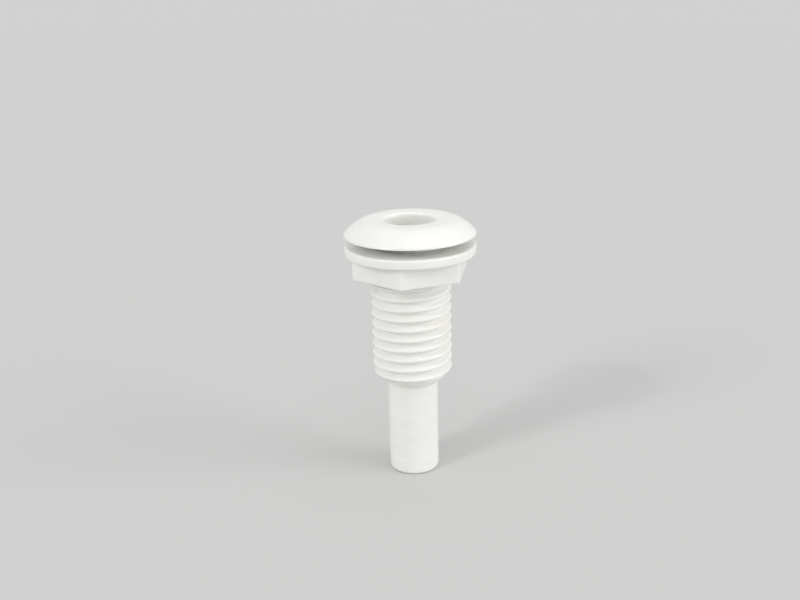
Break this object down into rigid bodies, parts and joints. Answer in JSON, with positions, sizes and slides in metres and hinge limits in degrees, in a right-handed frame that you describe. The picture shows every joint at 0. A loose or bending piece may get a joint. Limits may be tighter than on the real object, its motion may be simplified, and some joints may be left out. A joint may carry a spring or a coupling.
{
  "type": "thru hull fitting",
  "caption": "Moulded plastic skin fitting with a low domed head, threaded shank, barbed hose tail and a flanged hexagonal lock nut.",
  "frame": {"origin": "centre of the open end of the hose tail, on which the fitting stands", "axes": "+Z along the bore, from the hose tail towards the head; the part is round about Z, so X and Y are free"},
  "size_m": [0.0412, 0.0412, 0.0843],
  "materials": {
    "white_fitting": "glossy moulded white plastic",
    "white_nut": "glossy moulded white plastic"
  },
  "bodies": {
    "fitting": {"hull_fitting": "white_fitting"},
    "nut_carrier": {"nut_flange": "white_nut"},
    "nut": {"lock_nut": "white_nut"}
  },
  "joints": [
    {"name": "nut_travel", "type": "slide", "parent": "fitting", "child": "nut_carrier", "axis": [0, 0, -1], "range_m": [-0.0027, 0.0335]},
    {"name": "nut_turn", "type": "hinge", "parent": "nut_carrier", "child": "nut", "pos_m": [0, 0, 0.0715], "axis": [0, 0, -1], "range_deg": [-294, 3654]}
  ],
  "couplings": [
    {"joint": "nut_travel", "follows": "nut_turn", "m_per_rad": 0.00052521}
  ]
}
